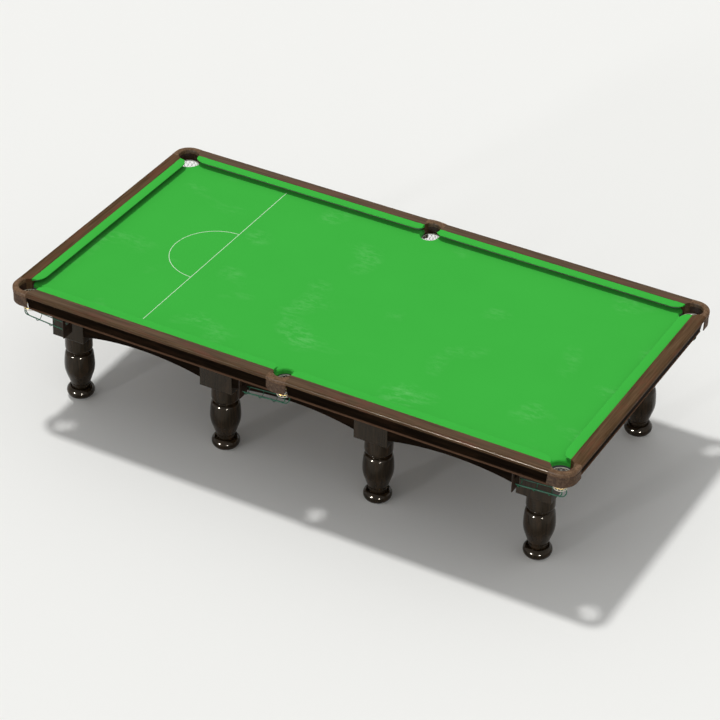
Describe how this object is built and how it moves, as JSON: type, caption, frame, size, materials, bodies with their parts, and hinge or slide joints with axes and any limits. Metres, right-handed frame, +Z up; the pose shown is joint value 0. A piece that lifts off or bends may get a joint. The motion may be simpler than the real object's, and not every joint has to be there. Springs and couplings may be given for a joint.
{
  "type": "snooker table",
  "caption": "Full-size snooker table: slate bed under stretched green cloth, cushioned wooden rails, leather pockets with nets, brass rings and ball runners, turned legs on levelling feet.",
  "frame": {"origin": "on the floor under the middle of the bed, at the bottom centre of the bounding box", "axes": "+X along the length, away from the baulk line and its D; +Y across the table; +Z up"},
  "size_m": [3.857, 2.082, 0.876],
  "materials": {
    "slate": "honed",
    "bed_cloth": "napped wool",
    "cushion_cloth": "napped wool over rubber",
    "base_wood": "dark stain, gloss lacquer",
    "rail_wood": "brown stain, satin lacquer",
    "blind_wood": "dark stain, satin lacquer",
    "bearer_wood": "planed",
    "pocket_leather": "grained, worn",
    "strap_leather": "grained",
    "net_cord": "knotted cord",
    "ring_brass": "polished",
    "runner_coating": "plastic dipped",
    "bolt_steel": "zinc plated",
    "foot_steel": "turned"
  },
  "bodies": {
    "table": {"slate_1": "slate", "slate_2": "slate", "slate_3": "slate", "slate_4": "slate", "slate_5": "slate", "bed_cloth": "bed_cloth", "leg_1": "base_wood", "leg_2": "base_wood", "leg_3": "base_wood", "leg_4": "base_wood", "leg_5": "base_wood", "leg_6": "base_wood", "leg_7": "base_wood", "leg_8": "base_wood", "side_rail_1": "base_wood", "side_rail_2": "base_wood", "side_rail_3": "base_wood", "side_rail_4": "base_wood", "side_rail_5": "base_wood", "side_rail_6": "base_wood", "end_rail_1": "base_wood", "end_rail_2": "base_wood", "bearers": "bearer_wood", "cushion_rail_1": "rail_wood", "cushion_rail_2": "rail_wood", "cushion_rail_3": "rail_wood", "cushion_rail_4": "rail_wood", "cushion_rail_5": "rail_wood", "cushion_rail_6": "rail_wood", "rail_blinds": "blind_wood", "cushion_1": "cushion_cloth", "cushion_2": "cushion_cloth", "cushion_3": "cushion_cloth", "cushion_4": "cushion_cloth", "cushion_5": "cushion_cloth", "cushion_6": "cushion_cloth", "pocket_leather_1": "pocket_leather", "pocket_leather_2": "pocket_leather", "pocket_leather_3": "pocket_leather", "pocket_leather_4": "pocket_leather", "pocket_leather_5": "pocket_leather", "pocket_leather_6": "pocket_leather", "pocket_net_1": "net_cord", "pocket_net_2": "net_cord", "pocket_net_3": "net_cord", "pocket_net_4": "net_cord", "pocket_net_5": "net_cord", "pocket_net_6": "net_cord", "pocket_rings": "ring_brass", "ball_runners": "runner_coating", "runner_straps": "strap_leather", "bolts": "bolt_steel"},
    "foot_1": {"levelling_foot_1": "foot_steel"},
    "foot_2": {"levelling_foot_2": "foot_steel"},
    "foot_3": {"levelling_foot_3": "foot_steel"},
    "foot_4": {"levelling_foot_4": "foot_steel"},
    "foot_5": {"levelling_foot_5": "foot_steel"},
    "foot_6": {"levelling_foot_6": "foot_steel"},
    "foot_7": {"levelling_foot_7": "foot_steel"},
    "foot_8": {"levelling_foot_8": "foot_steel"}
  },
  "joints": [
    {"name": "foot_1_level", "type": "slide", "parent": "table", "child": "foot_1", "axis": [0, 0, -1], "range_m": [0, 0.025]},
    {"name": "foot_2_level", "type": "slide", "parent": "table", "child": "foot_2", "axis": [0, 0, -1], "range_m": [0, 0.025]},
    {"name": "foot_3_level", "type": "slide", "parent": "table", "child": "foot_3", "axis": [0, 0, -1], "range_m": [0, 0.025]},
    {"name": "foot_4_level", "type": "slide", "parent": "table", "child": "foot_4", "axis": [0, 0, -1], "range_m": [0, 0.025]},
    {"name": "foot_5_level", "type": "slide", "parent": "table", "child": "foot_5", "axis": [0, 0, -1], "range_m": [0, 0.025]},
    {"name": "foot_6_level", "type": "slide", "parent": "table", "child": "foot_6", "axis": [0, 0, -1], "range_m": [0, 0.025]},
    {"name": "foot_7_level", "type": "slide", "parent": "table", "child": "foot_7", "axis": [0, 0, -1], "range_m": [0, 0.025]},
    {"name": "foot_8_level", "type": "slide", "parent": "table", "child": "foot_8", "axis": [0, 0, -1], "range_m": [0, 0.025]}
  ]
}
